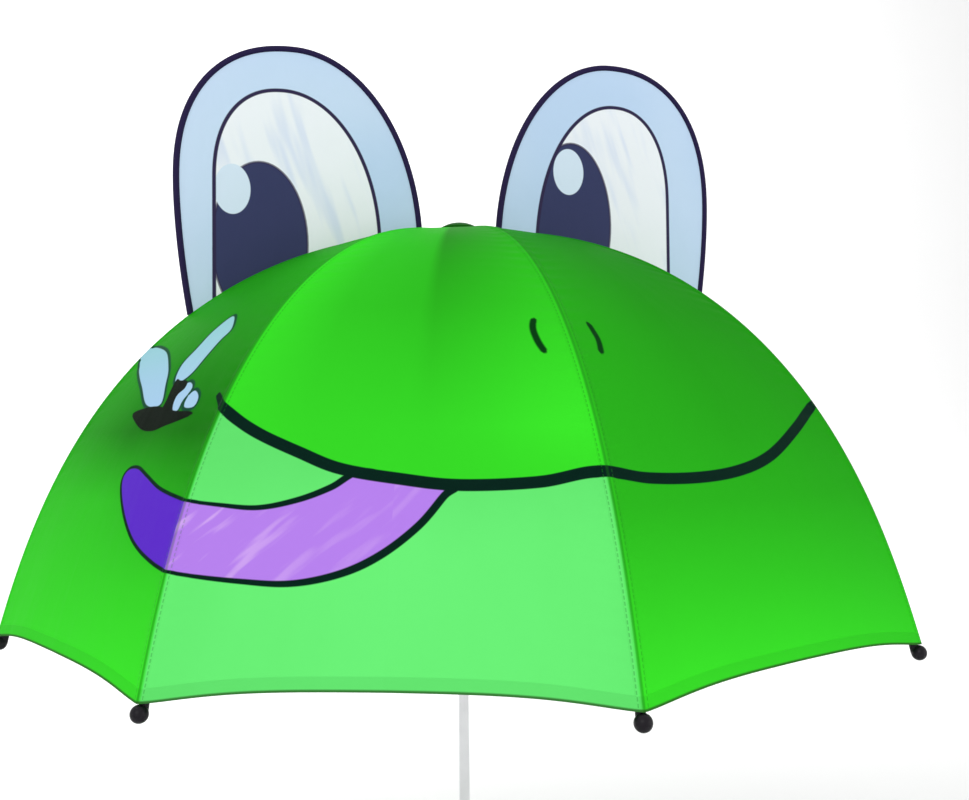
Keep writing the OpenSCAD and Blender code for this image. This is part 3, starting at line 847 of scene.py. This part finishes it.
def ear_outline(cloth, ear, inset, raised):
    """The ear's outline above the cloth, from its inner foot over the peak to its outer foot."""
    arch = ear_arch(ear, ear.middle, ear.peak + raised - inset, ear.out - inset, ear.reach - inset)
    arch = arch[arch[:, 1] > cloth_height(cloth, arch[:, 0])]
    inner_out = arch[0][0]
    outer_out, outer_up = arch[-1]
    foot_up = cloth_height(cloth, outer_out - ear.lean)
    deep = np.linspace(0, 1, 24)[1:]
    side = np.stack([outer_out - ear.lean * deep**1.7, outer_up + (foot_up - outer_up) * deep], -1)
    return np.concatenate([[[inner_out, cloth_height(cloth, inner_out)]], arch, side])


def flat_distance(x, z, path):
    """Distance to a path, both in the ear's plane."""
    points = np.stack([x, np.zeros_like(x), z], -1)
    return distance_to(points, np.stack([path[:, 0], np.zeros(len(path)), path[:, 1]], -1), 0.2)[0]


def ellipse(centre_x, centre_z, wide, tall, steps=64):
    turn = np.linspace(0, math.tau, steps)
    return np.stack([centre_x + wide * np.cos(turn), centre_z + tall * np.sin(turn)], -1)


def ear_material(ear):
    """Printed eye: pale blue border, dark line, white, pupil and glint."""
    w = Wiring("ear_cloth", tuple(ear.white), 0.5)
    ring, pupil = w.attribute("ring"), w.attribute("pupil")
    place = w.place()
    soft, shadow, haze = 0.0004, (0.600, 0.700, 0.930), (0.660, 0.800, 0.970)
    x, _, z = w.parts(place)
    slant = w.math("ADD", w.math("MULTIPLY", x, 70.0), w.math("MULTIPLY", z, 22.0))
    streak = w.noise(w.combine(slant, w.math("MULTIPLY", z, 9.0)), 1.0, 2.0)
    white = w.mix(w.rise(streak, 0.50, 0.72, 0.0, 0.55), tuple(ear.white), shadow)
    cloud = w.noise(w.scaled(place, (7.0, 1.0, 7.0)), 1.0, 1.0)
    border = w.mix(w.rise(cloud, 0.35, 0.7, 0.0, 0.55), tuple(ear.border), haze)
    eye = w.mix(within(w, "pupil", soft), white, tuple(ear.pupil))
    eye = w.mix(w.rise(w.math("ABSOLUTE", pupil), 0.0005, 0.0013, 0.8, 0.0), eye, tuple(ear.navy))
    eye = w.mix(within(w, "glint", soft), eye, tuple(ear.glint))
    base = w.mix(within(w, "ring", soft), border, eye)
    base = w.mix(w.rise(w.math("ABSOLUTE", ring), 0.0010, 0.0018, 1.0, 0.0), base, tuple(ear.navy))
    normal = w.bump(w.noise(w.scaled(place, (24.0, 24.0, 16.0)), 1.0, 3.0), 0.004, 0.5)
    normal = w.bump(weave(w, x, z, EAR_WEAVE), 0.00003, 0.3, normal)
    return w.finish(base, normal, sheen_weight=0.03, specular_ior_level=0.22)


def padded_shell(name, place):
    """A closed padded piece from its two faces, which place lays out for a side of -1 or 1."""
    bm = bmesh.new()
    for side in (-1.0, 1.0):
        half, _, _ = grid(f"{name}_half", 260, 60, lambda a, b, s=side: place(a, b, s))
        mesh = half.data
        bm.from_mesh(mesh)
        bpy.data.objects.remove(half)
        bpy.data.meshes.remove(mesh)
    bmesh.ops.remove_doubles(bm, verts=bm.verts, dist=1e-5)
    bmesh.ops.bridge_loops(bm, edges=[e for e in bm.edges if e.is_boundary])
    bmesh.ops.recalc_face_normals(bm, faces=bm.faces)
    for edge in bm.edges:
        edge.smooth = True
    mesh = bpy.data.meshes.new(name)
    bm.to_mesh(mesh)
    bm.free()
    return show(name, mesh)


def keep_eye(mesh, ear, facts):
    """Keeps the distances to the ring round the white, to the pupil and to the glint."""
    flat = np.empty(len(mesh.vertices) * 3)
    mesh.vertices.foreach_get("co", flat)
    x, z = flat.reshape(-1, 3)[:, 0], flat.reshape(-1, 3)[:, 2]
    arch = ear_arch(ear, *facts["inner"])
    under_cloth = 0.40
    ring = np.concatenate([arch, [[arch[-1][0], under_cloth], [arch[0][0], under_cloth], arch[0]]])
    paths = {"ring": ring * (facts["way"], 1.0)}
    paths["pupil"], paths["glint"] = ellipse(*facts["pupil"]), ellipse(*facts["glint"])
    for name, path in paths.items():
        gap = flat_distance(x, z, path)
        keep_values(mesh, name, np.where(inside(x, z, path), -gap, gap))


def build_ear(cloth, ear, name, cloth_look, binding_look):
    """One padded ear in the plane of its rib, with its bound edge."""
    facts = EARS[name]
    way, body = facts["way"], f"rib_{facts['rib']}"
    outline = ear_outline(cloth, ear, 0.0, facts["raised"])
    along_foot = np.linspace(outline[-1][0], outline[0][0], 40)[1:]
    foot = np.stack([along_foot, cloth_height(cloth, along_foot) - 0.001], -1)
    loop = np.concatenate([outline, foot, outline[:1]])
    gone = np.concatenate([[0.0], np.cumsum(np.linalg.norm(np.diff(loop, axis=0), axis=1))])
    heart = np.array([ear.middle - 0.004, ear.wide])

    def place(a, b, side):
        at = (a + 1) / 2 * gone[-1]
        rim = np.stack([np.interp(at, gone, loop[:, k]) for k in (0, 1)], -1)
        spot = heart + (rim - heart) * ((b[:, None] + 1) / 2)
        gap = flat_distance(spot[:, 0], spot[:, 1], outline)
        puff = ear.thick / 2 * (1 - 0.82 * np.exp(-gap / 0.006))
        return np.stack([way * spot[:, 0], side * puff, spot[:, 1]], -1)

    made = padded_shell(f"ear_{name}_padded", place)
    keep_eye(made.data, ear, facts)
    made.data.materials.append(cloth_look)
    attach(made, body)
    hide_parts(f"ear_{name}")
    path = [(way * p[0], 0.0, p[1]) for p in ear_outline(cloth, ear, ear.binding * 0.6, facts["raised"])]
    edge = tube(f"ear_{name}_edge", path, ear.binding, flat=1.1)
    edge.data.materials.append(binding_look)
    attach(edge, body)
    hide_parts(f"ear_{name}_binding")


def plain_material(name, colour, roughness, metallic=0.0, grain=0.0, **uniform):
    """A metal or plastic with a little wear in its sheen and a fine grain."""
    w = Wiring(name, colour, roughness, metallic)
    place = w.place()
    cloud = w.noise(place, 60.0, 3.0)
    colour_now = w.mix(w.rise(cloud, 0.35, 0.75, 0.0, 0.3), colour, tuple(0.72 * c for c in colour))
    normal = w.bump(w.noise(place, 900.0, 2.0), 0.0001, grain) if grain else None
    return w.finish(colour_now, normal, **uniform)


class UMBRELLA_OT_cloth(Operator):
    """Build the eight shares of the printed canopy, one on each rib"""

    bl_idname = "umbrella.cloth"
    bl_label = "Canopy cloth"

    def execute(self, context):
        cloth = context.scene.umbrella_cloth
        outer, inner = cloth_material(cloth), lining_material(cloth)
        for rib in range(RIBS):
            build_section(cloth, rib, outer, inner)
        return {"FINISHED"}


class UMBRELLA_OT_ears(Operator):
    """Build the two padded ears with their bound edges"""

    bl_idname = "umbrella.ears"
    bl_label = "Ears"

    def execute(self, context):
        cloth, ear = context.scene.umbrella_cloth, context.scene.umbrella_ears
        look = ear_material(ear)
        binding = plain_material("navy_binding", tuple(ear.navy), 0.6, grain=0.3, specular_ior_level=0.1)
        for name in EARS:
            build_ear(cloth, ear, name, look, binding)
        return {"FINISHED"}


def strap_material(strap):
    """Doubled cloth with a row of stitches round its edge."""
    w = Wiring("strap_cloth", tuple(strap.colour), 0.6)
    across, down, _ = w.parts(w.uv("strap"))
    edge_row = strap.width / 2 - 0.0017
    from_row = w.math("ABSOLUTE", w.math("SUBTRACT", w.math("ABSOLUTE", across), edge_row))
    stitch = stitches(w, down, from_row)
    cloud = w.rise(w.noise(w.place(), 70.0, 2.0), 0.3, 0.75, 0.0, 0.3)
    base = w.mix(cloud, tuple(strap.colour), tuple(0.6 * c for c in strap.colour))
    base = w.mix(w.math("MULTIPLY", stitch, 0.6), base, (0.006, 0.120, 0.006))
    normal = w.bump(weave(w, across, down, CLOTH_WEAVE), 0.00004, 0.4)
    return w.finish(base, w.bump(stitch, 0.0003, 0.7, normal), specular_ior_level=0.1)


class UMBRELLA_OT_strap(Operator):
    """Build the tie strap that lies along the back rib"""

    bl_idname = "umbrella.strap"
    bl_label = "Tie strap"

    def execute(self, context):
        cloth, strap = context.scene.umbrella_cloth, context.scene.umbrella_strap
        length = (strap.end - strap.start) * cloth.rib_length

        def share_of(b):
            return strap.start + (strap.end - strap.start) * (b + 1) / 2

        def place(a, b):
            left = np.clip((1 - b) / 2 * length / (strap.width / 2), 0, 1)
            half = strap.width / 2 * np.sqrt(1 - (1 - left) ** 2 * 0.8)
            points = on_cloth(cloth, np.full(len(a), float(strap.rib)), share_of(b), strap.lift)
            points[:, 0] += a * half
            return points

        made, a, b = grid("tie_strap_cloth", 10, 70, place)
        mesh = made.data
        keep_uv(mesh, "strap", a * strap.width / 2, share_of(b) * cloth.rib_length)
        mesh.materials.append(strap_material(strap))
        skin = made.modifiers.new("strap thickness", "SOLIDIFY")
        skin.thickness = strap.thick
        skin.offset = 0.0
        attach(made, "strap")
        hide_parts("tie_strap")
        return {"FINISHED"}


class UMBRELLA_OT_fittings(Operator):
    """Give the frame, runner, shaft, tips and handle their finishes"""

    bl_idname = "umbrella.fittings"
    bl_label = "Fittings"

    def execute(self, context):
        look = context.scene.umbrella_fittings
        finishes = (
            ("steel_wire", look.steel, 0.34, 1.0, 0.2, {}),
            ("steel_tube", look.tube, 0.16, 1.0, 0.0, {}),
            ("black_plastic", look.black, 0.3, 0.0, 0.1, {"specular_ior_level": 0.16}),
            ("dark_green_plastic", look.cap, 0.5, 0.0, 0.15, {"specular_ior_level": 0.04}),
            ("green_plastic", look.grip, 0.38, 0.0, 0.2, {}),
            ("washer_cloth", look.washer, 0.8, 0.0, 0.5, {}),
        )
        looks = {}
        for name, colour, roughness, metallic, grain, extra in finishes:
            looks[name] = plain_material(name, tuple(colour), roughness, metallic, grain, **extra)
        slots = {s["node"]: s["material_slot"] for s in frame["record"]["subparts"]}
        for name, node in frame["nodes"].items():
            if slots[name] in looks and not node.hide_render:
                node.data.materials.clear()
                node.data.materials.append(looks[slots[name]])
        return {"FINISHED"}


class UMBRELLA_OT_stage(Operator):
    """Set up the backdrop, the lights and the camera"""

    bl_idname = "umbrella.stage"
    bl_label = "Stage"

    def execute(self, context):
        scene, stage = context.scene, context.scene.umbrella_stage
        low = CAD_BOX[0].z - 0.012
        turn = np.linspace(0, math.pi / 2, 24)
        cove, back, reach = 1.6, 3.4, 16.0
        profile = np.concatenate([
            [[-reach, low], [0.0, low]],
            np.stack([back + cove * np.sin(turn), low + cove * (1 - np.cos(turn))], -1),
            [[back + cove, low + reach]],
        ])

        def place(a, b):
            at = (b + 1) / 2 * (len(profile) - 1)
            y = np.interp(at, np.arange(len(profile)), profile[:, 0])
            z = np.interp(at, np.arange(len(profile)), profile[:, 1])
            return np.stack([reach * a, y, z], -1)

        floor, _, _ = grid("backdrop", 2, len(profile) - 1, place)
        paper = Wiring("backdrop_paper", tuple(stage.pale), 0.9)
        floor.data.materials.append(paper.finish(specular_ior_level=0.1))
        world = bpy.data.worlds.new("surroundings")
        world.use_nodes = True
        world.node_tree.nodes["Background"].inputs["Color"].default_value = (1.0, 1.0, 1.0, 1.0)
        world.node_tree.nodes["Background"].inputs["Strength"].default_value = stage.sky
        scene.world = world
        for name, place_m, aim, power, size in (
            ("key", (-1.5, -2.3, 1.9), (0.0, 0.0, 0.42), stage.key, 1.5),
            ("fill", (1.9, -1.6, 0.5), (0.0, 0.0, 0.35), stage.fill, 1.6),
            ("wash", (0.6, 1.6, 3.0), (0.6, 4.5, 1.6), stage.wash, 3.0),
        ):
            data = bpy.data.lights.new(name, "AREA")
            data.energy, data.size = power, size
            lamp = bpy.data.objects.new(name, data)
            lamp.location = place_m
            lamp.rotation_euler = (Vector(aim) - Vector(place_m)).to_track_quat("-Z", "Y").to_euler()
            scene.collection.objects.link(lamp)
        data = bpy.data.cameras.new("camera")
        data.lens, data.sensor_width = stage.lens, 36.0
        camera = bpy.data.objects.new("camera", data)
        camera.location = tuple(stage.place)
        turned = (90 + stage.tilt, stage.roll, -stage.heading)
        camera.rotation_euler = tuple(math.radians(angle) for angle in turned)
        scene.collection.objects.link(camera)
        scene.camera = camera
        scene.view_settings.view_transform = "Standard"
        return {"FINISHED"}


class UMBRELLA_PT_build(Panel):
    """Lists the builders"""

    bl_idname = "UMBRELLA_PT_build"
    bl_label = "Children's umbrella"
    bl_space_type = "VIEW_3D"
    bl_region_type = "UI"
    bl_category = "Umbrella"

    def draw(self, context):
        for operator in OPERATORS:
            self.layout.operator(operator.bl_idname)


OPERATORS = (UMBRELLA_OT_cloth, UMBRELLA_OT_ears, UMBRELLA_OT_strap, UMBRELLA_OT_fittings, UMBRELLA_OT_stage)
SETTINGS = {
    "umbrella_cloth": CanopySettings,
    "umbrella_ears": EarSettings,
    "umbrella_strap": StrapSettings,
    "umbrella_fittings": FittingSettings,
    "umbrella_stage": StageSettings,
}


def register():
    for kind in (*SETTINGS.values(), *OPERATORS, UMBRELLA_PT_build):
        bpy.utils.register_class(kind)
    for name, kind in SETTINGS.items():
        setattr(bpy.types.Scene, name, PointerProperty(type=kind))


def unregister():
    for name in SETTINGS:
        delattr(bpy.types.Scene, name)
    for kind in (UMBRELLA_PT_build, *reversed(OPERATORS), *SETTINGS.values()):
        bpy.utils.unregister_class(kind)


def main():
    register()
    bpy.ops.umbrella.cloth()
    bpy.ops.umbrella.ears()
    bpy.ops.umbrella.strap()
    bpy.ops.umbrella.fittings()
    bpy.ops.umbrella.stage()


if __name__ == "__main__":
    main()
